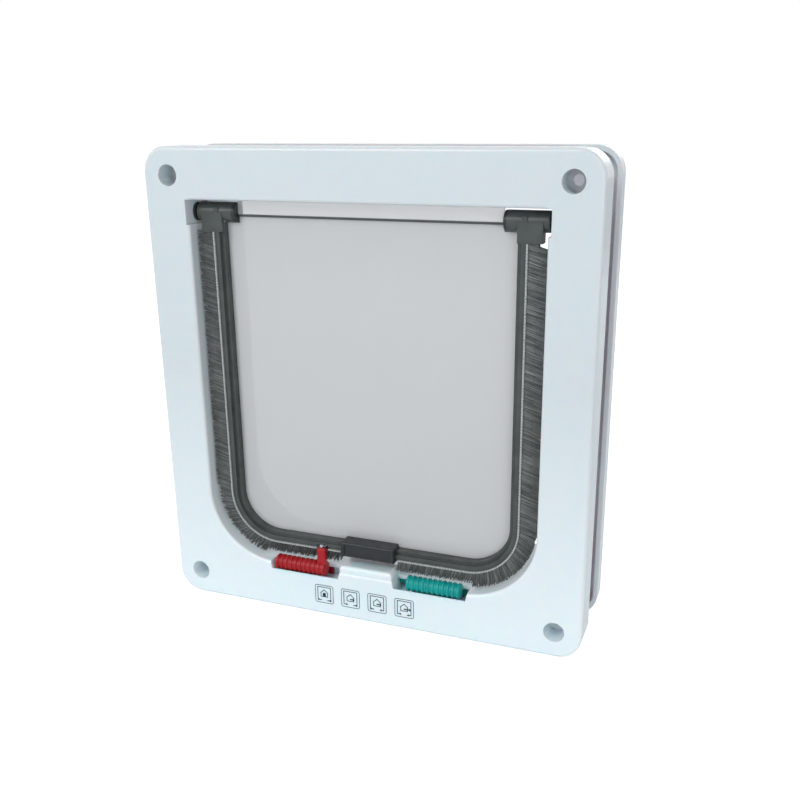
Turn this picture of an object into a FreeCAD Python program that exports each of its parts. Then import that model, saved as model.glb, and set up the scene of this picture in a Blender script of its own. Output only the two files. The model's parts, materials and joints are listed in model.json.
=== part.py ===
import FreeCAD
import Part
import math
import os

# Four-way locking cat flap, in millimetres.
# X is the width, +Z is up and the front faces -Y. The origin is under the middle of the flap,
# on the line where both frames stand.

# Frames
frame_w = 237.0          # width over both frames
frame_h = 252.0          # height over both frames
corner_r = 13.0          # outer corners seen from the front
edge_round = 2.0         # rounding of the face edge
wall = 2.5               # skirts and plates
skirt_front = 20.0       # depth of the front frame's skirt
skirt_rear = 12.0        # depth of the rear frame's skirt
door_gap = 28.0          # door thickness between the two skirts
border_side = 25.0       # frame edge to tunnel wall
border_top = 26.3        # frame edge to tunnel ceiling
border_low = 27.5        # frame edge to tunnel floor
liner_t = 2.2            # tunnel liner
liner_fit = 0.3          # gap between the two liners
liner_front = 38.0       # length of the front liner
liner_rear = 30.0        # length of the rear liner
lip_round = 1.6          # rounding where the face turns into the tunnel

# Screws through both frames
hole_inset_x = 14.3      # frame edge to screw centre
hole_inset_z = 14.3
cup_d = 10.8             # recess for the screw head
cup_depth = 12.0
cup_wall = 2.0
screw_d = 5.2            # clearance hole in the front frame
pilot_d = 4.2            # hole in the rear frame's posts
post_d = 9.0
post_len = 8.0

# Flap
pivot_drop = 6.7         # tunnel ceiling down to the pivot
pivot_in = 11.7          # front face back to the pivot
rim_in = 6.3             # front face back to the rim
rim_t = 7.5              # rim, front to back
rim_outer_w = 2.6        # outer step of the rim
rim_w = 4.6              # whole width of the rim
rim_step = 2.0           # drop from the outer step to the inner one
pane_t = 2.0
flap_r = 27.0            # lower corners of the rim
bar_t = 2.0              # bar between the barrels
bar_up = 6.0             # top of the bar over the pivot
bar_low = 1.0            # bottom of the bar under the pivot
barrel_d = 10.2
barrel_len = 20.6
barrel_end = 0.8         # barrel end to the bush flange
shoulder_w = 7.5         # shoulder beyond the rim, under each barrel
shoulder_drop = 9.7      # its foot, under the pivot
gusset = 4.0             # chamfer in the pane's upper corners

# Hinge pins and bushes
pin_d = 4.0
pin_run = 0.05           # radial running fit of pin in bush
pin_end = 5.2            # pin beyond the pocket wall
collar_d = 10.0
collar_t = 1.5
bush_d = 7.0
bush_flange_d = 9.6
bush_flange_t = 1.3
pocket_w = 1.6           # pocket beyond the tunnel wall
pocket_drop = 12.6       # ceiling down to the pocket's floor
pocket_depth = 19.0
boss_d = 11.0
boss_len = 6.0

# Brush strips
brush_gap = 1.6          # pile tips to the tunnel wall
floor_gap = 1.0          # pile tips to the tunnel floor
brush_len = 8.5
backing_t = 0.9
backing_w = 6.4
backing_front = 0.8      # backing stands this far in front of the rim
pile_w = 5.4
tuft_pitch = 2.6
tuft_gap = 0.55
tuft_lean = 2.4
tuft_settle = 16.0       # the lean dies out over this length towards the leading end
tuft_root = 2.0
tuft_tilt = 0.3          # step between the two sides of a tuft's tip
lock_trim = 2.2          # pile trimmed shorter over the locks

# Magnet holder on the flap
holder_w = 31.0
holder_front = 3.2       # in front of the rim
holder_back = 1.6        # behind the rim
holder_low = 1.8         # under the rim
holder_over = 2.1        # over the rim's inner edge
holder_tail = 3.0        # rear lip hangs lower by this
holder_round = 1.0
window_w = 27.0
window_h = 6.4
window_deep = 0.6
window_skin = 0.6        # left between the window and the magnet
side_gap = 1.2           # holder to the ends of the strips
magnet_w = 20.0
magnet_h = 6.0
magnet_t = 1.7
cover_t = 1.0

# Sill
sill_half = 14.2         # half width of the sill's raised top
sill_slope = 3.3         # how far its ends slope out
sill_rise = 3.9
sill_in = 0.6
sill_depth = 13.5
sill_skin = 1.2
sill_magnet_h = 4.4
sill_magnet_t = 5.0
sill_magnet_in = 3.0     # front face back to the sill's magnet
sill_plug = 0.5          # cover's plug under the magnet

# Locks
knob_d = 8.6
knob_len = 31.0
red_x = 40.0             # middle of each knob from the centre line, unlocked
green_x = 38.3
knob_in = 4.3            # front face back to the knob's axis
knob_drop = 1.2          # tunnel floor down to the knob's axis
rib_count = 11
rib_deep = 0.6
rib_share = 0.62         # rib's share of its pitch
rib_slope = 0.35         # sloping side of a rib
lock_travel = 5.5
lock_play = 0.2          # above, below and behind a slide
slide_len = 31.4
slide_t = 2.4
slide_h = 4.6
web_in = 3.0             # web inside the knob's ends
web_t = 2.1
trough_end = 57.2        # outer end of each lock's trough
trough_depth = 13.2
trough_low = 7.6         # tunnel floor down to the trough floor
notch_low = 3.4          # tunnel floor down to the notch in the face
notch_slope = 2.6        # slope of the notch's inner end
notch_flare = 0.8        # slope of its outer end
trough_in = 1.2          # trough's floor ends this far inside its mouth
housing_t = 2.0
housing_back = 1.2
finger_w = 4.8
finger_t = 2.5
finger_x = 27.2          # red finger from the centre line
finger_over = 0.9        # red finger's top over the rim's lower edge
finger_gap = 0.45        # red finger to the strip behind it
notch_left = 1.7         # notch beyond the finger, both sides
notch_right = 0.7
notch_over = 0.7
tail_w = 3.6             # green lock's finger behind the flap
tail_t = 2.0
tail_gap = 0.4
tail_room = 0.3          # round the finger in its slot
tail_under = 0.5
tail_side = 0.6          # magnet holder to the finger beside it
arm_h = 2.6
arm_end = 36.0
arm_room = 0.8

# Lines and planes that follow from the sizes
front_y = -(skirt_front + door_gap + skirt_rear) / 2
rear_y = -front_y
tunnel_half = frame_w / 2 - border_side
tunnel_top = frame_h - border_top
tunnel_low = border_low
pivot_y = front_y + pivot_in
pivot_z = tunnel_top - pivot_drop
rim_y = front_y + rim_in
rim_back = rim_y + rim_t
pane_y = rim_back - pane_t
backing_y = rim_y - backing_front
pile_y = backing_y + (backing_w - pile_w) / 2
flap_half = tunnel_half - brush_gap - brush_len - backing_t
flap_low = tunnel_low + floor_gap + brush_len + backing_t
backing_low = flap_low - backing_t
strip_top = pivot_z - shoulder_drop
bend_x = flap_half - flap_r
bend_z = flap_low + flap_r
tunnel_r = flap_r + backing_t + brush_len + (brush_gap + floor_gap) / 2
barrel_out = tunnel_half + pocket_w - bush_flange_t - barrel_end
barrel_in = barrel_out - barrel_len
holder_y = rim_y - holder_front
holder_end = rim_back + holder_back
holder_z = flap_low - holder_low
holder_top = flap_low + rim_w + holder_over
strip_end = holder_w / 2 + side_gap
sill_z = tunnel_low + sill_rise
knob_y = front_y + knob_in
knob_z = tunnel_low - knob_drop
trough_z = tunnel_low - trough_low
slide_y = front_y + trough_depth - slide_t - lock_play
finger_y = backing_y - finger_gap - finger_t
tail_y = holder_end + tail_gap
tail_x = holder_w / 2 + tail_side
magnet_y = front_y + sill_magnet_in
magnet_low = sill_z - sill_skin - sill_magnet_h
slide_z = trough_z + lock_play
floor_in = sill_half + sill_slope
floor_out = trough_end - trough_in
hole_x = frame_w / 2 - hole_inset_x
hole_low = hole_inset_z
hole_high = frame_h - hole_inset_z


def box(x0, x1, y0, y1, z0, z1):
    return Part.makeBox(x1 - x0, y1 - y0, z1 - z0, FreeCAD.Vector(x0, y0, z0))


def rod(radius, start, end):
    a = FreeCAD.Vector(*start)
    b = FreeCAD.Vector(*end)
    return Part.makeCylinder(radius, (b - a).Length, a, b - a)


def axle(radius, x0, x1):
    # Round bar on the flap's pivot line.
    return rod(radius, (x0, pivot_y, pivot_z), (x1, pivot_y, pivot_z))


def outline(half, low, high, r_low, r_high, y):
    # Closed outline in the XZ plane, its lower and upper corners with radii of their own.
    k = math.sqrt(0.5)
    points = []
    for sx, z, r in ((-1, low, r_low), (1, low, r_low), (1, high, r_high), (-1, high, r_high)):
        sz = 1 if z == low else -1
        side = FreeCAD.Vector(sx * half, y, z + sz * r)
        foot = FreeCAD.Vector(sx * (half - r), y, z)
        mid = FreeCAD.Vector(sx * (half - r + r * k), y, z + sz * (r - r * k))
        first_is_side = (sx < 0) == (z == low)
        points.append((side, mid, foot) if first_is_side else (foot, mid, side))
    edges = []
    for i, corner in enumerate(points):
        edges.append(Part.Arc(*corner).toShape())
        edges.append(Part.LineSegment(corner[2], points[(i + 1) % 4][0]).toShape())
    return Part.Face(Part.Wire(edges))


def slab(half, low, high, r_low, r_high, y0, y1):
    return outline(half, low, high, r_low, r_high, y0).extrude(FreeCAD.Vector(0, y1 - y0, 0))


def prism(points, direction):
    # Straight-sided face through the points, pushed along the direction.
    ring = [FreeCAD.Vector(*p) for p in points]
    return Part.Face(Part.makePolygon(ring + ring[:1])).extrude(FreeCAD.Vector(*direction))


def edges_at_y(shape, y):
    found = []
    for edge in shape.Edges:
        if all(abs(v.Y - y) < 1e-4 for v in edge.Vertexes) and abs(edge.CenterOfMass.y - y) < 1e-4:
            found.append(edge)
    return found


def mirrored(shape):
    return shape.mirror(FreeCAD.Vector(0, 0, 0), FreeCAD.Vector(1, 0, 0))


def tunnel(grow, y0, y1):
    return slab(tunnel_half + grow, tunnel_low - grow, tunnel_top + grow, tunnel_r + grow, 2.0 + grow, y0, y1)


def skirted_plate(y_face, depth):
    # Shallow tray: a face plate with a skirt, open on the other side. Depth may be negative.
    side = 1 if depth > 0 else -1
    tray = slab(frame_w / 2, 0, frame_h, corner_r, corner_r, min(y_face, y_face + depth),
                max(y_face, y_face + depth))
    tray = tray.makeFillet(edge_round, edges_at_y(tray, y_face))
    inner_y = y_face + side * wall
    end_y = y_face + depth
    hollow = slab(frame_w / 2 - wall, wall, frame_h - wall, corner_r - wall, corner_r - wall,
                  min(inner_y, end_y), max(inner_y, end_y))
    return tray.cut(hollow)


def screw_places():
    return [(sx * hole_x, z) for sx in (-1, 1) for z in (hole_low, hole_high)]


def lock_housing(sign):
    # Solid under the tunnel floor that the lock's trough is cut into.
    reach = trough_depth + housing_t
    low = trough_z - housing_t
    x0 = sill_half - 1.0
    x1 = trough_end + housing_t
    body = box(x0, x1, front_y + wall / 2, front_y + reach, low, tunnel_low - liner_t / 2)
    if sign > 0:
        body = body.fuse(box(x0 - lock_travel - 2.0, arm_end + 4.0, front_y + reach - 0.5,
                             tail_y + tail_t + tail_room + housing_back, low, tunnel_low - liner_t / 2))
    return body if sign > 0 else mirrored(body)


def lock_trough(sign):
    # Room for one lock: sloping ends in the face, a straight trough behind it.
    top = tunnel_low + 1.5
    roof = tunnel_low - liner_t
    knob_back = knob_y + knob_d / 2 + 0.5
    section = prism([(0, front_y - 1, tunnel_low - notch_low + 1.0), (0, front_y + wall, trough_z),
                     (0, front_y + trough_depth, trough_z), (0, front_y + trough_depth, roof),
                     (0, knob_back, roof), (0, knob_back, top), (0, front_y - 1, top)],
                    (frame_w / 2, 0, 0))
    room = prism([(floor_in, front_y - 2, trough_z - 1), (floor_out, front_y - 2, trough_z - 1),
                  (trough_end + notch_flare, front_y - 2, top), (floor_in - notch_slope, front_y - 2, top)],
                 (0, trough_depth + 4, 0))
    cavity = section.common(room)
    low = trough_z - housing_t
    cavity = cavity.fuse(box(floor_in, floor_out, front_y + wall, front_y + trough_depth, low, trough_z))
    if sign > 0:
        x0 = tail_x - lock_travel - tail_side
        tail_end = tail_y + tail_t + tail_room
        cavity = cavity.fuse([
            box(x0, arm_end + arm_room, front_y + trough_depth - 0.1, tail_end, low, roof),
            box(x0, floor_in + 0.1, slide_y - 2 * lock_play, front_y + trough_depth, low, roof),
            box(x0, tail_x + tail_w + tail_side, tail_y - tail_room, tail_end, roof - 0.1, tunnel_low + 1)])
    return cavity if sign > 0 else mirrored(cavity)


def hinge_pocket(grow):
    reach = tunnel_half + pocket_w + grow
    return box(-reach, reach, front_y - 1, front_y + pocket_depth + grow,
               tunnel_top - pocket_drop - grow, tunnel_top + grow)


def front_frame():
    body = skirted_plate(front_y, skirt_front)
    body = body.fuse([tunnel(liner_t, front_y + wall / 2, front_y + liner_front),
                      hinge_pocket(liner_t).common(tunnel(20, front_y + wall / 2, rear_y))])
    for sx in (-1, 1):
        start = sx * (tunnel_half + pocket_w)
        body = body.fuse(axle(boss_d / 2, start, start + sx * boss_len))
    for x, z in screw_places():
        body = body.fuse(rod(cup_d / 2 + cup_wall, (x, front_y + wall / 2, z),
                             (x, front_y + cup_depth + wall, z)))
    for rib_z in (frame_h * 0.3, frame_h * 0.5, frame_h * 0.7):
        for sx in (-1, 1):
            x0, x1 = sorted((sx * (tunnel_half + 1), sx * (frame_w / 2 - 1)))
            body = body.fuse(box(x0, x1, front_y + 1, front_y + skirt_front - 4, rib_z - 1, rib_z + 1))
    for rib_x in (-frame_w / 5, 0, frame_w / 5):
        body = body.fuse(box(rib_x - 1, rib_x + 1, front_y + 1, front_y + skirt_front - 4,
                             tunnel_top + 1, frame_h - 1))
    body = body.fuse([lock_housing(-1), lock_housing(1)])
    magnet_room = box(-magnet_w / 2 - 2, magnet_w / 2 + 2, front_y + 1, magnet_y + sill_magnet_t + 2,
                      magnet_low - sill_plug, tunnel_low)
    body = body.fuse(magnet_room)
    opening = tunnel(0, front_y - 1, rear_y)
    body = body.cut(opening)
    lip = [e for e in edges_at_y(body, front_y) if abs(e.CenterOfMass.x) < tunnel_half + 1
           and tunnel_low - 1 < e.CenterOfMass.z < tunnel_top + 1]
    body = body.makeFillet(lip_round, lip)
    body = body.cut(hinge_pocket(0))
    body = body.fuse(sill())
    body = body.cut([lock_trough(-1), lock_trough(1)])
    body = body.cut(box(-magnet_w / 2, magnet_w / 2, magnet_y, magnet_y + sill_magnet_t,
                        magnet_low - 1, sill_z - sill_skin))
    for sx in (-1, 1):
        start = sx * (tunnel_half + pocket_w - 1)
        body = body.cut(axle(bush_d / 2, start, start + sx * (boss_len + 2)))
    for x, z in screw_places():
        body = body.cut(rod(cup_d / 2, (x, front_y - 1, z), (x, front_y + cup_depth, z)))
        body = body.cut(rod(screw_d / 2, (x, front_y, z), (x, front_y + cup_depth + wall + 1, z)))
    return body.removeSplitter()


def sill():
    # Raised middle of the lower lip, under the magnet holder.
    base = sill_half + sill_slope
    body = prism([(-base, front_y + sill_in, tunnel_low - 1), (base, front_y + sill_in, tunnel_low - 1),
                  (sill_half, front_y + sill_in, sill_z), (-sill_half, front_y + sill_in, sill_z)],
                 (0, sill_depth, 0))
    tops = [e for e in body.Edges if all(v.Z > sill_z - 0.01 for v in e.Vertexes)]
    return body.makeFillet(sill_rise * 0.5, tops)


def rear_frame():
    body = skirted_plate(rear_y, -skirt_rear)
    grow = liner_t + liner_fit
    body = body.fuse(tunnel(grow + liner_t, rear_y - liner_rear, rear_y - wall / 2))
    for x, z in screw_places():
        body = body.fuse(rod(post_d / 2, (x, rear_y - post_len - wall, z), (x, rear_y - wall / 2, z)))
    body = body.cut(tunnel(grow, front_y, rear_y + 1))
    lip = [e for e in edges_at_y(body, rear_y) if abs(e.CenterOfMass.x) < tunnel_half + grow + 1
           and tunnel_low - grow - 1 < e.CenterOfMass.z < tunnel_top + grow + 1]
    body = body.makeFillet(lip_round, lip)
    for x, z in screw_places():
        body = body.cut(rod(pilot_d / 2, (x, front_y, z), (x, rear_y - 1.0, z)))
    return body.removeSplitter()


def flap_plan(inset, high, y0, y1):
    return slab(flap_half - inset, flap_low + inset, high, flap_r - inset, 0.4, y0, y1)


def flap_panel():
    top = pivot_z + barrel_d / 4
    body = flap_plan(0, top, rim_y, rim_back)
    body = body.cut(flap_plan(rim_outer_w, top + 5, rim_y - 1, rim_y + rim_step))
    window = flap_plan(rim_w, pivot_z - bar_low, rim_y - 1, pane_y)
    for sx in (-1, 1):
        corner = sx * (flap_half - rim_w)
        window = window.cut(prism([(corner, rim_y - 2, pivot_z - bar_low - gusset),
                                   (corner - sx * gusset, rim_y - 2, pivot_z - bar_low),
                                   (corner, rim_y - 2, pivot_z - bar_low)], (0, rim_t, 0)))
    body = body.cut(window)
    body = body.cut(box(-barrel_in, barrel_in, rim_y - 1, rim_back + 1, pivot_z - bar_low, pivot_z + 20))
    bar_end = barrel_in - collar_t - 0.4
    bar = box(-bar_end, bar_end, pivot_y - bar_t / 2, pivot_y + bar_t / 2,
              pivot_z - bar_low - 1.0, pivot_z + bar_up)
    step = box(-bar_end, bar_end, pivot_y - bar_t / 2, rim_back,
               pivot_z - bar_low - 1.0, pivot_z - bar_low)
    body = body.fuse([bar, step])
    for sx in (-1, 1):
        x0, x1 = sorted((sx * (flap_half - rim_w), sx * (flap_half + shoulder_w)))
        shoulder = box(x0, x1, rim_y, rim_back - 1.5, pivot_z - shoulder_drop, pivot_z)
        barrel = axle(barrel_d / 2, sx * barrel_in, sx * barrel_out)
        end = [e for e in barrel.Edges if e.Closed and abs(e.CenterOfMass.x - sx * barrel_out) < 0.1]
        barrel = barrel.makeFillet(0.8, end)
        body = body.fuse([shoulder, barrel])
    for sx in (-1, 1):
        seat = axle(collar_d / 2, sx * (barrel_in - collar_t), sx * barrel_in)
        bore = axle(pin_d / 2, sx * (barrel_in - 0.5), sx * (barrel_out + 1))
        body = body.cut(seat.fuse(bore))
    body = body.cut(lock_notch(flap_low + finger_over + notch_over))
    return body.removeSplitter()


def lock_notch(top):
    # Gap in the flap's lower edge that the red finger passes through when it is unlocked.
    return box(-finger_x - finger_w / 2 - notch_left, -finger_x + finger_w / 2 + notch_right,
               rim_y - 20, rim_back + 20, flap_low - 30, top)


def hinge_pin(sx):
    body = axle(pin_d / 2, sx * (barrel_in - collar_t), sx * (tunnel_half + pocket_w + pin_end))
    collar = axle(collar_d / 2, sx * (barrel_in - collar_t), sx * barrel_in)
    face = [e for e in collar.Edges if e.Closed and abs(e.CenterOfMass.x) < barrel_in - collar_t / 2]
    return body.fuse(collar.makeChamfer(0.5, face)).removeSplitter()


def hinge_bush(sx):
    face = tunnel_half + pocket_w
    body = axle(bush_d / 2, sx * (face - 0.1), sx * (face + boss_len))
    flange = axle(bush_flange_d / 2, sx * (face - bush_flange_t), sx * face)
    hole = axle(pin_d / 2 + pin_run, sx * (face - 5), sx * (face + 20))
    return body.fuse(flange).cut(hole).removeSplitter()


def strip_point(s, n):
    # Point on the right-hand strip: s runs down from its top end, n stands out from the backing.
    run = strip_top - bend_z
    bend = flap_r * math.pi / 2
    out = flap_r + backing_t + n
    if s < run:
        return bend_x + out, strip_top - s
    if s < run + bend:
        turn = (s - run) / flap_r
        return bend_x + out * math.cos(turn), bend_z - out * math.sin(turn)
    return bend_x - (s - run - bend), bend_z - out


def strip_length(end_x):
    return strip_top - bend_z + flap_r * math.pi / 2 + bend_x - end_x


def pile_tip(s):
    # Full length along the side, trimmed a little shorter where the lock knobs pass below.
    return brush_len - lock_trim if s > strip_length(trough_end + tuft_lean) else brush_len


def brush_pile(sx, end_x):
    # Comb of leaning tufts: one closed outline, pushed back through the depth of the pile.
    # Seen from the front the tufts lean clockwise all the way round the flap.
    total = strip_length(end_x)
    count = int(total / tuft_pitch)
    pitch = total / count
    outer = []
    for i in range(count):
        s0 = i * pitch
        s1 = s0 + pitch - tuft_gap
        ahead = total - s1 if sx > 0 else s0
        tip = pile_tip(s0)
        lean = sx * tuft_lean * min(1.0, ahead / tuft_settle) * (tip - tuft_root) / (brush_len - tuft_root)
        outer.append(strip_point(s0 + 0.02, tuft_root))
        outer.append(strip_point(s0 + lean, tip))
        outer.append(strip_point(s1 + lean, tip - tuft_tilt))
        outer.append(strip_point(s1, tuft_root))
    inner = [strip_point(total * i / 60, -backing_t / 2) for i in range(60, -1, -1)]
    ring = [(sx * x, pile_y, z) for x, z in outer + [strip_point(total, tuft_root)] + inner]
    seat = slab(flap_half + backing_t, flap_low - backing_t, strip_top + 5, flap_r + backing_t, 0.05,
                pile_y - 1, pile_y + pile_w + 1)
    return prism(ring, (0, pile_w, 0)).cut(seat)


def band(start_n, end_n, y0, y1, end_x):
    # Right-hand run of a strip around the flap, as a solid of even thickness.
    outer = slab(flap_half + end_n, flap_low - end_n, strip_top, flap_r + end_n, 0.05, y0, y1)
    inner = slab(flap_half + start_n, flap_low - start_n, strip_top + 5, flap_r + start_n, 0.05,
                 y0 - 1, y1 + 1)
    run = outer.cut(inner)
    return run.common(box(end_x, frame_w, y0 - 2, y1 + 2, 0, strip_top))


def brush_backing(sx):
    body = band(0, backing_t, backing_y, backing_y + backing_w, strip_end)
    if sx < 0:
        body = mirrored(body).cut(lock_notch(flap_low + 0.01))
    return body


def brush_pile_left():
    body = brush_pile(-1, strip_end).cut(lock_notch(flap_low))
    return Part.makeCompound([piece for piece in body.Solids if piece.Volume > 30])


def brush_pile_right():
    return brush_pile(1, tail_x + tail_w + 0.8)


def magnet_seat():
    # Room for the flap's magnet, behind the holder's window, open below.
    y0 = holder_y + window_deep + window_skin
    return (-magnet_w / 2, magnet_w / 2, y0, y0 + magnet_t, holder_z + cover_t, holder_z + cover_t + magnet_h)


def magnet_holder():
    half = holder_w / 2
    body = box(-half, half, holder_y, holder_end, holder_z, holder_top)
    rounded = [e for e in body.Edges if e.CenterOfMass.z > holder_top - 1 or e.CenterOfMass.y < holder_y + 1]
    body = body.makeFillet(holder_round, rounded)
    tail = box(-half + 1, half - 1, rim_back + 0.2, holder_end, holder_z - holder_tail, holder_z + 2)
    body = body.fuse(tail)
    window_z = (holder_z + holder_top - window_h) / 2
    body = body.cut(box(-window_w / 2, window_w / 2, holder_y - 1, holder_y + window_deep,
                        window_z, window_z + window_h))
    body = body.cut(flap_panel())
    x0, x1, y0, y1, z0, z1 = magnet_seat()
    body = body.cut(box(x0, x1, y0, y1, holder_z - 1, z1))
    return body.removeSplitter()


def flap_magnet():
    return box(*magnet_seat())


def magnet_cover():
    x0, x1, y0, y1, z0, z1 = magnet_seat()
    return box(x0, x1, y0, y1, holder_z, z0)


def sill_magnet():
    return box(-magnet_w / 2, magnet_w / 2, magnet_y, magnet_y + sill_magnet_t,
               magnet_low, sill_z - sill_skin)


def sill_cover():
    low = magnet_low - sill_plug
    plug = box(-magnet_w / 2, magnet_w / 2, magnet_y, magnet_y + sill_magnet_t, low, magnet_low)
    plate = box(-magnet_w / 2 - 2, magnet_w / 2 + 2, front_y + wall, magnet_y + sill_magnet_t + 2,
                low - cover_t, low)
    return plug.fuse(plate).removeSplitter()


def lock_body():
    # Ribbed knob and the slide behind it, middle on X = 0. The knob is turned from one profile.
    pitch = knob_len / rib_count
    root = knob_d / 2 - rib_deep
    profile = [(-knob_len / 2, 0)]
    for i in range(rib_count):
        middle = -knob_len / 2 + pitch * (i + 0.5)
        foot = pitch * rib_share / 2
        crest = foot - rib_slope
        profile += [(middle - foot, root), (middle - crest, knob_d / 2),
                    (middle + crest, knob_d / 2), (middle + foot, root)]
    profile += [(knob_len / 2, 0)]
    ring = [FreeCAD.Vector(x, knob_y, knob_z + r) for x, r in profile]
    face = Part.Face(Part.makePolygon(ring + ring[:1]))
    knob = face.revolve(FreeCAD.Vector(0, knob_y, knob_z), FreeCAD.Vector(1, 0, 0), 360)
    slide = box(-slide_len / 2, slide_len / 2, slide_y, slide_y + slide_t, slide_z, slide_z + slide_h)
    half = knob_len / 2 - web_in
    web = box(-half, half, knob_y, slide_y + 0.1, slide_z + slide_h - web_t, slide_z + slide_h)
    return knob.fuse([slide, web])


def red_lock():
    body = lock_body().translated(FreeCAD.Vector(-red_x, 0, 0))
    top = flap_low + finger_over
    finger = box(-finger_x - finger_w / 2, -finger_x + finger_w / 2, finger_y, finger_y + finger_t,
                 knob_z, top)
    finger = finger.makeFillet(0.8, [e for e in finger.Edges if abs(e.CenterOfMass.z - top) < 0.01])
    return body.fuse(finger).removeSplitter()


def green_lock():
    # Its arm runs under the tunnel floor to a finger that stands behind the flap.
    body = lock_body().translated(FreeCAD.Vector(green_x, 0, 0))
    under = tunnel_low - liner_t - 0.3
    top = backing_low - tail_under
    arm = box(tail_x, arm_end, slide_y, tail_y + tail_t, under - arm_h, under)
    arm = arm.cut(box(tail_x + tail_w + slide_t, arm_end + 1, slide_y + 2 * slide_t, tail_y + 20,
                      0, tunnel_low))
    finger = box(tail_x, tail_x + tail_w, tail_y, tail_y + tail_t, under - arm_h, top)
    finger = finger.makeFillet(0.7, [e for e in finger.Edges if abs(e.CenterOfMass.z - top) < 0.01])
    return body.fuse([arm, finger]).removeSplitter()


def lock_cover(sign):
    # Plate that closes the trough from below and carries the lock's slide.
    low = trough_z - housing_t
    body = box(floor_in, floor_out, front_y + wall, front_y + trough_depth, low, trough_z)
    if sign > 0:
        start = tail_x - lock_travel - tail_side
        tail_end = tail_y + tail_t + tail_room
        body = body.fuse([
            box(start, arm_end + arm_room, front_y + trough_depth - 0.1, tail_end, low, trough_z),
            box(start, floor_in + 0.1, slide_y - 2 * lock_play, front_y + trough_depth, low, trough_z)])
        return body.removeSplitter()
    return mirrored(body)


def export(name, shape):
    solids = shape.Solids
    print("%-20s valid=%s solids=%d volume=%.1f" % (name, shape.isValid(), len(solids), shape.Volume))
    body = solids[0] if len(solids) == 1 else Part.makeCompound(solids)
    body.exportStep(os.path.join("parts", name + ".step"))


os.makedirs("parts", exist_ok=True)
export("front_frame", front_frame())
export("rear_frame", rear_frame())
export("flap_panel", flap_panel())
for label, side in (("left", -1), ("right", 1)):
    export("hinge_pin_" + label, hinge_pin(side))
    export("hinge_bush_" + label, hinge_bush(side))
    export("brush_backing_" + label, brush_backing(side))
    export("lock_cover_" + label, lock_cover(side))
export("brush_pile_left", brush_pile_left())
export("brush_pile_right", brush_pile_right())
export("magnet_holder", magnet_holder())
export("flap_magnet", flap_magnet())
export("magnet_cover", magnet_cover())
export("sill_magnet", sill_magnet())
export("sill_cover", sill_cover())
export("red_lock", red_lock())
export("green_lock", green_lock())
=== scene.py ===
import json
import math
import random

import bmesh
import bpy
from mathutils import Matrix, Vector


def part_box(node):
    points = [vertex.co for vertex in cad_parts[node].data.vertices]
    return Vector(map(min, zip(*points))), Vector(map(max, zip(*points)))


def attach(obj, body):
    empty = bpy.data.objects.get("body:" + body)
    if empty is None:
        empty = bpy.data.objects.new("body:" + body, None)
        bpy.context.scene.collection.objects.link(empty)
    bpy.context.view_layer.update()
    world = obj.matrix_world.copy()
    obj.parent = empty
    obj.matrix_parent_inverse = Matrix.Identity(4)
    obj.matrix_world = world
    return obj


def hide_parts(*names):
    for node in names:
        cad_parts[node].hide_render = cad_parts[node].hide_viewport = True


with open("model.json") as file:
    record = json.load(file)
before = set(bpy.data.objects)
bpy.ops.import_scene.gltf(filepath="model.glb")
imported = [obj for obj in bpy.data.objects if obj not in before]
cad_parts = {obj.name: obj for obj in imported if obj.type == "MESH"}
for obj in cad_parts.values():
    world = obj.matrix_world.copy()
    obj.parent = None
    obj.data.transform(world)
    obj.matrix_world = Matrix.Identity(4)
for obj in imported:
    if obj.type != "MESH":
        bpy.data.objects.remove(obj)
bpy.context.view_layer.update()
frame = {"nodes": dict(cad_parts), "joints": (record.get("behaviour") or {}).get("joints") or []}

# White frames: glossy moulded plastic with a cold tint, its colour painted darker towards the top as shade.
# The mould leaves a fine orange peel on the faces, and every outer edge has a small soft radius.


class Field:
    # One value in a material's node tree; expressions on it add the Math nodes.
    def __init__(self, tree, socket):
        self.tree = tree
        self.socket = socket

    def node(self, kind, settings, inputs, output=0):
        made = self.tree.nodes.new(kind)
        for name, value in settings.items():
            if name == "stops":
                set_stops(made.color_ramp, value)
            else:
                setattr(made, name, value)
        for key, value in inputs.items():
            if isinstance(value, Field):
                self.tree.links.new(value.socket, made.inputs[key])
            else:
                made.inputs[key].default_value = value
        return Field(self.tree, made.outputs[output])

    def math(self, operation, other=0.0, third=0.0):
        return self.node("ShaderNodeMath", {"operation": operation}, {0: self, 1: other, 2: third})

    def __add__(self, other):
        return self.math("ADD", other)

    def __radd__(self, other):
        return self.math("ADD", other)

    def __sub__(self, other):
        return self.math("SUBTRACT", other)

    def __rsub__(self, other):
        return self.node("ShaderNodeMath", {"operation": "SUBTRACT"}, {0: other, 1: self})

    def __mul__(self, other):
        return self.math("MULTIPLY", other)

    def __rmul__(self, other):
        return self.math("MULTIPLY", other)

    def ramp(self, low, high, start=0.0, end=1.0):
        # Straight change from start to end while this value goes from low to high.
        return self.node("ShaderNodeMapRange", {"clamp": True},
                         {0: self, 1: low, 2: high, 3: start, 4: end})

    def mix(self, first, second):
        # Colour between first and second, with this value as the share of the second.
        return self.node("ShaderNodeMix", {"data_type": "RGBA"}, {0: self, 6: first, 7: second}, 2)


def set_stops(ramp, stops):
    for spare in list(ramp.elements)[1:]:
        ramp.elements.remove(spare)
    ramp.elements[0].position, ramp.elements[0].color = stops[0]
    for position, colour in stops[1:]:
        ramp.elements.new(position).color = colour


def new_material(name, **sockets):
    # Principled material; fixed values go straight onto its sockets.
    made = bpy.data.materials.new(name)
    made.use_nodes = True
    shader = made.node_tree.nodes["Principled BSDF"]
    for socket, value in sockets.items():
        shader.inputs[socket.replace("_", " ")].default_value = value
    place = made.node_tree.nodes.new("ShaderNodeTexCoord")
    return made, shader, Field(made.node_tree, place.outputs["Object"])


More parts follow.
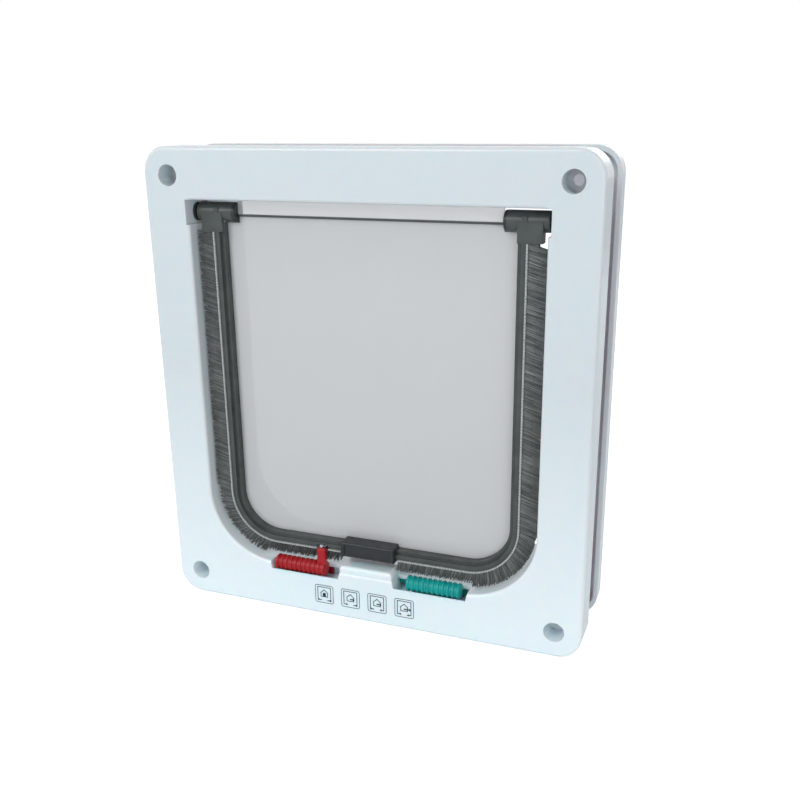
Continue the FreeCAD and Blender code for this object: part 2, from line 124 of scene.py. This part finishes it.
def feed(shader, socket, value):
    value.tree.links.new(value.socket, shader.inputs[socket])


def axis(place, index):
    return place.node("ShaderNodeSeparateXYZ", {}, {0: place}, index)


def noise(place, scale, detail=2.0, roughness=0.5):
    return place.node("ShaderNodeTexNoise", {}, {"Vector": place, "Scale": scale, "Detail": detail,
                                                 "Roughness": roughness})


def bump(place, height, distance, strength=1.0, edge=None):
    # Bump from a height; with an edge radius, sharp edges are rounded as well.
    inputs = {"Height": height, "Distance": distance, "Strength": strength}
    if edge:
        inputs["Normal"] = place.node("ShaderNodeBevel", {"samples": 4}, {"Radius": edge})
    return place.node("ShaderNodeBump", {}, inputs)


def dress(material, *nodes):
    for name in nodes:
        mesh = frame["nodes"][name].data
        mesh.materials.clear()
        mesh.materials.append(material)


def white_plastic(name, top, bottom, gloss):
    material, shader, place = new_material(name, IOR=1.5, Specular_IOR_Level=0.45,
                                           Subsurface_Weight=0.45, Subsurface_Scale=0.006)
    # Painted shade: the base colour runs from the lighter bottom colour up to the darker top colour.
    height = axis(place, 2).ramp(0.01, 0.14, 0.03, 0.97)
    cloud = noise(place, 9.0, 1.0) * 0.04 - 0.02
    feed(shader, "Base Color", (height + cloud).mix(bottom, top))
    feed(shader, "Roughness", noise(place, 60.0, 3.0) * 0.03 + gloss)
    feed(shader, "Normal", bump(place, noise(place, 900.0), 0.00003, 0.5, 0.0006))
    return material


# Darker top colour, then lighter bottom colour: painted shade towards the top of each frame.
white_front = white_plastic("white_front", (0.59, 0.66, 0.69, 1), (0.79, 0.87, 0.91, 1), 0.24)
white_rear = white_plastic("white_rear", (0.60, 0.66, 0.70, 1), (0.76, 0.84, 0.885, 1), 0.27)
dress(white_front, "front_frame")
dress(white_rear, "rear_frame", "sill_cover", "lock_cover_left", "lock_cover_right")

# Flap: one smoke-tinted clear moulding. The pane is thin and lets most of the light through,
# while the rim, the shoulders and the barrels are thick and look almost black green.
backing_low_box, backing_high_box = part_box("brush_backing_right")
BACKING = 0.0009
RIM_W = 0.0046
RIM_R = 0.027
flap_half = backing_high_box.x - BACKING
flap_low = backing_low_box.z + BACKING
PANE_ALPHA = 0.78
STRIP_ALPHA = 0.45
hinge = [joint for joint in frame["joints"] if joint["name"] == "flap_swing"][0]
bar_z = hinge["pos_m"][2] - 0.0015
BAR_T = 0.0012
BARREL_IN = 0.0705
BARREL_R = 0.0053
RIM_ALPHA = 0.97

smoke, shader, place = new_material("smoke_panel", IOR=1.49, Specular_IOR_Level=0.35)
across = axis(place, 0).math("ABSOLUTE")
up = axis(place, 2)
corner = RIM_R - RIM_W
reach_x = (across - (flap_half - RIM_W - corner)).math("MAXIMUM", 0.0)
reach_z = (flap_low + RIM_W + corner - up).math("MAXIMUM", 0.0)
from_corner = (reach_x * reach_x + reach_z * reach_z).math("SQRT")
rim = from_corner.ramp(corner - 0.0004, corner - 0.0002)
axis_y = axis(place, 1) - hinge["pos_m"][1]
axis_z = up - hinge["pos_m"][2]
near_axis = (axis_y * axis_y + axis_z * axis_z).math("SQRT").math("LESS_THAN", BARREL_R)
barrels = (across - BARREL_IN).math("GREATER_THAN", 0.0) * near_axis
strip = (up - bar_z - BAR_T / 2).math("GREATER_THAN", 0.0)
clear = strip * (STRIP_ALPHA - PANE_ALPHA) + PANE_ALPHA
bar_edge = (up - bar_z).math("ABSOLUTE").math("LESS_THAN", BAR_T / 2)
thick = rim.math("MAXIMUM", barrels).math("MAXIMUM", bar_edge)
feed(shader, "Alpha", thick * (RIM_ALPHA - clear) + clear)
streak = noise(place, 120.0, 3.0).ramp(0.3, 0.7)
rim_tone = streak.mix((0.052, 0.06, 0.058, 1), (0.075, 0.086, 0.083, 1))
feed(shader, "Base Color", thick.mix((0.56, 0.57, 0.575, 1), rim_tone))
feed(shader, "Roughness", thick * 0.25 + 0.08)
feed(shader, "Normal", bump(place, noise(place, 300.0), 0.00002, 0.3, 0.0004))
dress(smoke, "flap_panel")

# Hinge pins and their bushes: dark moulded plastic, satin. Each pin is pushed in from the inner
# end of its barrel up to a round collar, and its outer end turns in the bush.
pin_dark, shader, place = new_material("dark_pin", Specular_IOR_Level=0.4)
feed(shader, "Base Color", noise(place, 200.0).mix((0.016, 0.019, 0.019, 1), (0.03, 0.034, 0.034, 1)))
feed(shader, "Roughness", noise(place, 90.0).ramp(0.3, 0.7, 0.32, 0.45))
feed(shader, "Normal", bump(place, noise(place, 1200.0), 0.00002, 0.4, 0.0003))
dress(pin_dark, "hinge_pin_left", "hinge_pin_right", "hinge_bush_left", "hinge_bush_right")

# Strip backing: a thin woven band glued round the rim; its light front edge shows a row of
# small stitches, one for each tuft of the pile.
weave, shader, place = new_material("strip_backing", Roughness=0.85, Specular_IOR_Level=0.2)
threads = noise(place, 1500.0, 2.0).ramp(0.35, 0.65)
feed(shader, "Base Color", threads.mix((0.20, 0.22, 0.22, 1), (0.42, 0.44, 0.44, 1)))
feed(shader, "Normal", bump(place, threads, 0.0001, 0.6))
dress(weave, "brush_backing_left", "brush_backing_right")

thread, shader, place = new_material("stitch_thread", Roughness=0.8, Specular_IOR_Level=0.2)
feed(shader, "Base Color", noise(place, 700.0).mix((0.34, 0.36, 0.36, 1), (0.6, 0.62, 0.62, 1)))

strip_top = backing_high_box.z
backing_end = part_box("brush_backing_right")[0].x
bend_x = flap_half - RIM_R
bend_z = flap_low + RIM_R
run_down = strip_top - bend_z
run_round = RIM_R * math.pi / 2


def strip_length(end_x):
    return run_down + run_round + bend_x - end_x


def strip_place(s, out, y, side):
    # Frame of a point on a strip: local X along the strip, local Z outwards from the rim.
    out += RIM_R
    if s < run_down:
        turn = 0.0
        base = Vector((bend_x, y, strip_top - s))
    else:
        turn = min((s - run_down) / RIM_R, math.pi / 2)
        base = Vector((bend_x - max(0.0, s - run_down - run_round), y, bend_z))
    outward = Vector((math.cos(turn), 0, -math.sin(turn)))
    along = Vector((-math.sin(turn), 0, -math.cos(turn)))
    point = base + outward * out
    if side < 0:
        point.x, outward.x, along.x = -point.x, -outward.x, -along.x
    depth = outward.cross(along)
    turned = Matrix((along, depth, outward)).transposed().to_4x4()
    return Matrix.Translation(point) @ turned


def finish_piece(name, bm, body, material, smooth=True):
    mesh = bpy.data.meshes.new(name)
    bm.to_mesh(mesh)
    bm.free()
    mesh.materials.append(material)
    for face in mesh.polygons:
        face.use_smooth = smooth
    piece = bpy.data.objects.new(name, mesh)
    bpy.context.scene.collection.objects.link(piece)
    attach(piece, body)
    return piece


STITCH_PITCH = 0.0015
notch_left = -0.0313
notch_right = -0.0241
for side, label in ((-1, "left"), (1, "right")):
    bm = bmesh.new()
    total = strip_length(backing_end)
    for i in range(int(total / STITCH_PITCH)):
        s = (i + 0.5) * STITCH_PITCH
        spot = strip_place(s, BACKING * 0.45, backing_low_box.y, side)
        if side < 0 and notch_left < spot.translation.x < notch_right and s > run_down + run_round:
            continue
        scale = Matrix.Diagonal((0.00052, 0.00018, 0.00036, 1))
        bmesh.ops.create_icosphere(bm, subdivisions=1, radius=1.0, matrix=spot @ scale)
    finish_piece("strip_stitches_" + label, bm, "flap", thread)

# Brush pile: thousands of fine grey bristles set in small clumps along the backing. They all
# lean clockwise round the flap, their tips fray a little, and they part round the red finger.
pile, shader, place = new_material("brush_pile", Roughness=0.7, Specular_IOR_Level=0.3, Sheen_Weight=0.2)
# The shade value mixes a dark and a light fibre colour: partly real fibre tone, partly painted highlight and
# painted shade on the clumps.
shade = place.node("ShaderNodeAttribute", {"attribute_name": "shade"}, {}, 2)
patch = noise(place, 120.0, 2.0).ramp(0.3, 0.7)
dark_side = patch.mix((0.06, 0.068, 0.066, 1), (0.09, 0.101, 0.098, 1))
light_side = patch.mix((0.22, 0.235, 0.23, 1), (0.30, 0.315, 0.305, 1))
feed(shader, "Base Color", shade.mix(dark_side, light_side))

pile_low_box, pile_high_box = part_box("brush_pile_right")
PILE_W = pile_high_box.y - pile_low_box.y
PILE_LEN = pile_high_box.x - backing_high_box.x
TRIMMED_LEN = 0.0063
TUFT_PITCH = 0.00105
CLUMPS = 9
PER_CLUMP = 20
BRISTLE_R = 0.00011
TO_WALL = 1.12
CORE_LEN = PILE_LEN * 0.55
CORE_W = PILE_W * 0.7
LEAN = 0.0027
pile_middle = (pile_low_box.y + pile_high_box.y) / 2
lock_reach = 0.0596
SLOT_W = 0.0017
END_FRAY = 0.004
rng = random.Random(7)


def make_tuft(lean, spread, length):
    # One tuft, its roots on local Z = 0; each clump has a lean of its own and its bristles gather.
    bm = bmesh.new()
    for k in range(CLUMPS):
        y = ((k + rng.uniform(0.2, 0.8)) / CLUMPS - 0.5) * (PILE_W - 4 * BRISTLE_R)
        x = rng.uniform(-0.5, 0.5) * TUFT_PITCH
        tip_x = x + lean + rng.gauss(0, spread)
        tip_y = y * 1.08 + rng.gauss(0, spread * 0.4)
        tall = length * rng.uniform(0.93, 1.0)
        for _ in range(PER_CLUMP):
            root = (x + rng.gauss(0, 0.00022), y + rng.uniform(-0.5, 0.5) * PILE_W / CLUMPS * 1.3)
            reach = tall * rng.uniform(0.94, 1.0)
            made = bmesh.ops.create_cone(bm, cap_ends=False, segments=3, radius1=BRISTLE_R,
                                         radius2=BRISTLE_R * 0.5, depth=reach,
                                         matrix=Matrix.Translation((root[0], root[1], reach / 2)))
            slant = Matrix.Identity(4)
            slant[0][2] = (tip_x + rng.gauss(0, 0.00014) - root[0]) / reach
            slant[1][2] = (tip_y + rng.gauss(0, 0.0002) - root[1]) / reach
            bmesh.ops.transform(bm, matrix=slant, verts=made["verts"])
    mesh = bpy.data.meshes.new("tuft")
    bm.to_mesh(mesh)
    bm.free()
    return mesh


def pile_core(bm, side, end_x):
    # Dark sheet in the heart of the pile, where the bristles stand too close to see between them; it keeps
    # shade value 0, so it takes the darkest fibre colour as painted shade.
    work = bmesh.new()
    bmesh.ops.create_grid(work, x_segments=1, y_segments=1, size=0.5)
    bmesh.ops.scale(work, vec=(CORE_LEN, CORE_W, 1), verts=work.verts)
    bmesh.ops.translate(work, verts=work.verts,
                        vec=(flap_half + BACKING + CORE_LEN / 2, pile_middle, strip_top))
    made = bmesh.ops.extrude_face_region(work, geom=work.faces[:])["geom"]
    bmesh.ops.translate(work, verts=[g for g in made if isinstance(g, bmesh.types.BMVert)],
                        vec=(0, 0, -run_down))
    end = [g for g in made if isinstance(g, bmesh.types.BMFace)]
    turned = bmesh.ops.spin(work, geom=end, cent=(bend_x, pile_middle, bend_z), axis=(0, 1, 0),
                            angle=math.pi / 2, steps=10)["geom_last"]
    end = [g for g in turned if isinstance(g, bmesh.types.BMFace)]
    made = bmesh.ops.extrude_face_region(work, geom=end)["geom"]
    bmesh.ops.translate(work, verts=[g for g in made if isinstance(g, bmesh.types.BMVert)],
                        vec=(end_x - bend_x, 0, 0))
    bmesh.ops.scale(work, vec=(side, 1, 1), verts=work.verts)
    bmesh.ops.recalc_face_normals(work, faces=work.faces)
    mesh = bpy.data.meshes.new("core")
    work.to_mesh(mesh)
    work.free()
    bm.from_mesh(mesh)
    bpy.data.meshes.remove(mesh)


for side, label in ((-1, "left"), (1, "right")):
    tufts = [make_tuft(LEAN * side, 0.0003, PILE_LEN) for _ in range(8)]
    upright = [make_tuft(LEAN * side * 0.25, 0.0003, PILE_LEN) for _ in range(3)]
    frayed = [make_tuft(LEAN * side * 0.6, 0.0008, PILE_LEN) for _ in range(3)]
    bm = bmesh.new()
    tone = bm.verts.layers.float.new("shade")
    total = strip_length(backing_end)
    count = int(total / TUFT_PITCH)
    # Dark core sheet with shade value 0: painted shade between the bristles.
    pile_core(bm, side, backing_end if side > 0 else -notch_left + 0.0005)
    for i in range(count):
        if i == count // 2:
            upper = finish_piece("bristles_" + label + "_upper", bm, "flap", pile, smooth=False)
            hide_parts("brush_pile_" + label)
            bm = bmesh.new()
            tone = bm.verts.layers.float.new("shade")
        s = (i + 0.5) * total / count
        spot = strip_place(s, BACKING, pile_middle, side)
        x = spot.translation.x
        if side < 0 and notch_left < x < notch_left + SLOT_W and s > run_down + run_round:
            continue
        shape = rng.choice(tufts)
        if total - s < END_FRAY:
            shape = rng.choice(frayed)
        elif side < 0 and s < END_FRAY:
            shape = rng.choice(upright)
        trim = TRIMMED_LEN / PILE_LEN if s > strip_length(lock_reach) else 1.0
        before = len(bm.verts)
        bm.from_mesh(shape)
        bm.verts.ensure_lookup_table()
        fresh = bm.verts[before:]
        reach = TO_WALL if s < run_down else 1.0
        size = Matrix.Diagonal((trim, 1, trim * reach * rng.uniform(0.97, 1.0), 1))
        bmesh.ops.transform(bm, matrix=spot @ size, verts=fresh)
        # Random shade value for each clump and bristle: partly fibre tone, partly painted highlight and
        # painted shade.
        for k in range(CLUMPS):
            clump_tone_and_painted_light = 0.15 + 0.6 * rng.random() ** 1.4
            for j in range(PER_CLUMP):
                value = min(1.0, max(0.0, clump_tone_and_painted_light + rng.gauss(0, 0.12)))
                start = (k * PER_CLUMP + j) * 6
                for vert in fresh[start:start + 6]:
                    vert[tone] = value
    for mesh in tufts + upright + frayed:
        bpy.data.meshes.remove(mesh)
    bristles = finish_piece("bristles_" + label + "_lower", bm, "flap", pile, smooth=False)
    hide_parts("brush_pile_" + label)

# Magnet holder: dark grey saddle clipped over the rim, satin, with slightly rounded edges;
# the magnet sits behind its recessed window.
holder, shader, place = new_material("dark_holder", Specular_IOR_Level=0.35)
feed(shader, "Base Color", noise(place, 160.0, 3.0).mix((0.018, 0.022, 0.024, 1), (0.03, 0.034, 0.037, 1)))
feed(shader, "Roughness", noise(place, 240.0, 3.0).ramp(0.3, 0.7, 0.34, 0.5))
feed(shader, "Normal", bump(place, noise(place, 1500.0), 0.00003, 0.5, 0.0005))
dress(holder, "magnet_holder", "magnet_cover")

ferrite, shader, place = new_material("magnet", Metallic=0.6)
feed(shader, "Base Color", noise(place, 900.0).mix((0.05, 0.05, 0.052, 1), (0.1, 0.1, 0.105, 1)))
feed(shader, "Roughness", noise(place, 500.0).ramp(0.3, 0.7, 0.45, 0.65))
dress(ferrite, "flap_magnet", "sill_magnet")

# Slide locks: ribbed knobs, one moulded in red and one in blue green. The plastic is satin
# and a little worn, lighter in random patches.


def lock_plastic(name, deep, light):
    material, shader, place = new_material(name, Specular_IOR_Level=0.25, Subsurface_Weight=0.06,
                                           Subsurface_Scale=0.002)
    feed(shader, "Base Color", noise(place, 180.0, 3.0).ramp(0.35, 0.65).mix(deep, light))
    feed(shader, "Roughness", noise(place, 300.0, 3.0).ramp(0.3, 0.7, 0.3, 0.42))
    feed(shader, "Normal", bump(place, noise(place, 1100.0), 0.00003, 0.5, 0.0003))
    return material


dress(lock_plastic("red_plastic", (0.34, 0.01, 0.014, 1), (0.40, 0.017, 0.022, 1)), "red_lock")
dress(lock_plastic("green_plastic", (0.002, 0.28, 0.265, 1), (0.006, 0.34, 0.32, 1)), "green_lock")

# Pictograms: four small dark grey prints under the opening, one for each way that the locks
# can be set: a rounded frame, a doorway open below, a house and arrows for the knobs.
ink, shader, place = new_material("print_ink", Roughness=0.5, Specular_IOR_Level=0.3)
feed(shader, "Base Color", noise(place, 2500.0).mix((0.012, 0.013, 0.015, 1), (0.024, 0.026, 0.029, 1)))
INK_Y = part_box("front_frame")[0].y
INK_T = 0.00004
ICON = 0.0111
icon_pitch = 0.01585
icon_first = -0.0249
icon_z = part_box("front_frame")[0].z + 0.0127


def flat_shape(bm, corners, x, z):
    # Printed patch with the given corners, as a thin plate on the face.
    verts = [bm.verts.new((x + u, INK_Y, z + v)) for u, v in corners]
    face = bm.faces.new(verts)
    made = bmesh.ops.extrude_face_region(bm, geom=[face])
    moved = [g for g in made["geom"] if isinstance(g, bmesh.types.BMVert)]
    bmesh.ops.translate(bm, verts=moved, vec=(0, -INK_T, 0))


def ring(bm, width, height, radius, stroke, x, z, open_below=False):
    # Outline of a rounded rectangle: a grid face, rounded, inset and emptied.
    work = bmesh.new()
    bmesh.ops.create_grid(work, x_segments=1, y_segments=1, size=0.5,
                          matrix=Matrix.Rotation(math.pi / 2, 4, "X"))
    bmesh.ops.scale(work, vec=(width, 1, height), verts=work.verts)
    if radius:
        bmesh.ops.bevel(work, geom=work.verts[:], offset=radius, affect="VERTICES", segments=4,
                        profile=0.5, material=-1)
    band = bmesh.ops.inset_region(work, faces=work.faces[:], thickness=stroke, use_even_offset=True,
                                  use_boundary=True)
    keep = set(band["faces"])
    bmesh.ops.delete(work, geom=[f for f in work.faces if f not in keep], context="FACES")
    if open_below:
        low = [f for f in work.faces if f.calc_center_median().z < -height / 2 + stroke]
        bmesh.ops.delete(work, geom=low, context="FACES")
    made = bmesh.ops.extrude_face_region(work, geom=work.faces[:])
    moved = [g for g in made["geom"] if isinstance(g, bmesh.types.BMVert)]
    bmesh.ops.translate(work, verts=moved, vec=(0, -INK_T, 0))
    bmesh.ops.translate(work, verts=work.verts, vec=(x, INK_Y, z))
    mesh = bpy.data.meshes.new("ring")
    work.to_mesh(mesh)
    work.free()
    bm.from_mesh(mesh)
    bpy.data.meshes.remove(mesh)


for i in range(4):
    bm = bmesh.new()
    x = icon_first + i * icon_pitch
    ring(bm, ICON, ICON, 0.0013, 0.00032, x, icon_z)
    ring(bm, ICON * 0.74, ICON * 0.72, 0, 0.0004, x, icon_z + 0.0004, open_below=True)
    house = 0.0022
    line = 0.0004
    foot = -0.0018
    eaves = 0.0007
    flat_shape(bm, [(-house, foot), (house, foot), (house, foot + line), (-house, foot + line)], x, icon_z)
    for sx in (-1, 1):
        flat_shape(bm, [(sx * house, foot), (sx * (house - line), foot), (sx * (house - line), eaves),
                        (sx * house, eaves)], x, icon_z)
        flat_shape(bm, [(sx * house * 1.15, eaves - 0.0001), (0, 0.0029), (0, 0.0023),
                        (sx * (house * 1.15 - 0.0006), eaves - 0.0001)], x, icon_z)
    if i == 0:
        flat_shape(bm, [(-0.0009, foot), (0.0009, foot), (0.0009, 0.0007), (-0.0009, 0.0007)], x, icon_z)
    else:
        end = (0.0016, 0.0018, 0.0032)[i - 1]
        flat_shape(bm, [(-0.0002, -0.0008), (end, -0.0008), (end, -0.0001), (-0.0002, -0.0001)], x, icon_z)
        flat_shape(bm, [(end - 0.0002, -0.0013), (end + 0.0009, -0.00045), (end - 0.0002, 0.0004)], x, icon_z)
    for sx, inward in ((-1, i in (1, 3)), (1, i in (2, 3))):
        middle = sx * 0.0029
        point = middle + (-sx if inward else sx) * 0.0014
        back = point - (-sx if inward else sx) * 0.0010
        flat_shape(bm, [(middle - 0.0012, -0.0040), (middle + 0.0012, -0.0040), (middle + 0.0012, -0.0035),
                        (middle - 0.0012, -0.0035)], x, icon_z)
        flat_shape(bm, [(back, -0.0030), (point, -0.00375), (back, -0.0045)], x, icon_z)
    bmesh.ops.recalc_face_normals(bm, faces=bm.faces)
    finish_piece("pictogram_%d" % (i + 1), bm, "frame", ink, smooth=False)

# Studio: pale floor, soft light from the front left and above, and the camera at the height
# and side that the object is seen from.
bm = bmesh.new()
bmesh.ops.create_grid(bm, x_segments=1, y_segments=1, size=6.0, matrix=Matrix.Translation((0, 0, -0.0002)))
mesh = bpy.data.meshes.new("floor")
bm.to_mesh(mesh)
bm.free()
floor = bpy.data.objects.new("floor", mesh)
bpy.context.scene.collection.objects.link(floor)
floor_paint = bpy.data.materials.new("floor_paint")
floor_paint.use_nodes = True
tree = floor_paint.node_tree
tree.nodes.clear()
paths = Field(tree, tree.nodes.new("ShaderNodeLightPath").outputs["Is Camera Ray"])
matt = paths.node("ShaderNodeBsdfDiffuse", {}, {"Color": (0.82, 0.83, 0.84, 1)})
glow = paths.node("ShaderNodeEmission", {}, {"Color": (1, 1, 1, 1), "Strength": paths * 0.62})
sum_up = paths.node("ShaderNodeAddShader", {}, {0: matt, 1: glow})
output = tree.nodes.new("ShaderNodeOutputMaterial")
tree.links.new(sum_up.socket, output.inputs["Surface"])
mesh.materials.append(floor_paint)

world = bpy.data.worlds.new("studio")
bpy.context.scene.world = world
world.use_nodes = True
tree = world.node_tree
tree.nodes.clear()
light_path = tree.nodes.new("ShaderNodeLightPath")
camera_ray = Field(tree, light_path.outputs["Is Camera Ray"])
glossy_ray = Field(tree, light_path.outputs["Is Glossy Ray"])
clear_ray = Field(tree, light_path.outputs["Is Transmission Ray"])
seen = camera_ray.math("MAXIMUM", glossy_ray).math("MAXIMUM", clear_ray)
lit = seen.node("ShaderNodeBackground", {}, {"Color": (0.96, 0.98, 1, 1), "Strength": 0.62})
white = seen.node("ShaderNodeBackground", {}, {"Color": (1, 1, 1, 1), "Strength": 1.0})
both = seen.node("ShaderNodeMixShader", {}, {0: seen, 1: lit, 2: white})
output = tree.nodes.new("ShaderNodeOutputWorld")
tree.links.new(both.socket, output.inputs["Surface"])

AIM = Vector((0.0, 0.0, 0.126))
for name, spot, size, power in (("key", (-0.55, -1.1, 0.95), 0.8, 9.0), ("fill", (0.9, -0.9, 0.25), 0.7, 3.0),
                                ("back", (0.3, 1.1, 0.8), 0.8, 4.0)):
    lamp = bpy.data.lights.new(name, "AREA")
    lamp.shape = "DISK"
    lamp.size = size
    lamp.energy = power
    light = bpy.data.objects.new(name, lamp)
    light.location = spot
    light.rotation_euler = (AIM - Vector(spot)).to_track_quat("-Z", "Y").to_euler()
    bpy.context.scene.collection.objects.link(light)

view = bpy.data.cameras.new("camera")
view.sensor_width = 36.0
view.lens = 41.35
view.shift_x = -0.0182
view.shift_y = 0.0215
view.clip_start = 0.01
camera = bpy.data.objects.new("camera", view)
target = Vector((0.02944, -0.030, 0.12204))
azimuth, elevation, roll = math.radians(20.261), math.radians(17.964), math.radians(-0.411)
away = Vector((math.sin(azimuth) * math.cos(elevation), -math.cos(azimuth) * math.cos(elevation),
               math.sin(elevation)))
camera.location = target + away * 0.46040
look = (-away).to_track_quat("-Z", "Y").to_matrix().to_4x4()
camera.rotation_euler = (look @ Matrix.Rotation(roll, 4, "Z")).to_euler()
bpy.context.scene.collection.objects.link(camera)
bpy.context.scene.camera = camera
bpy.context.scene.view_settings.view_transform = "Standard"
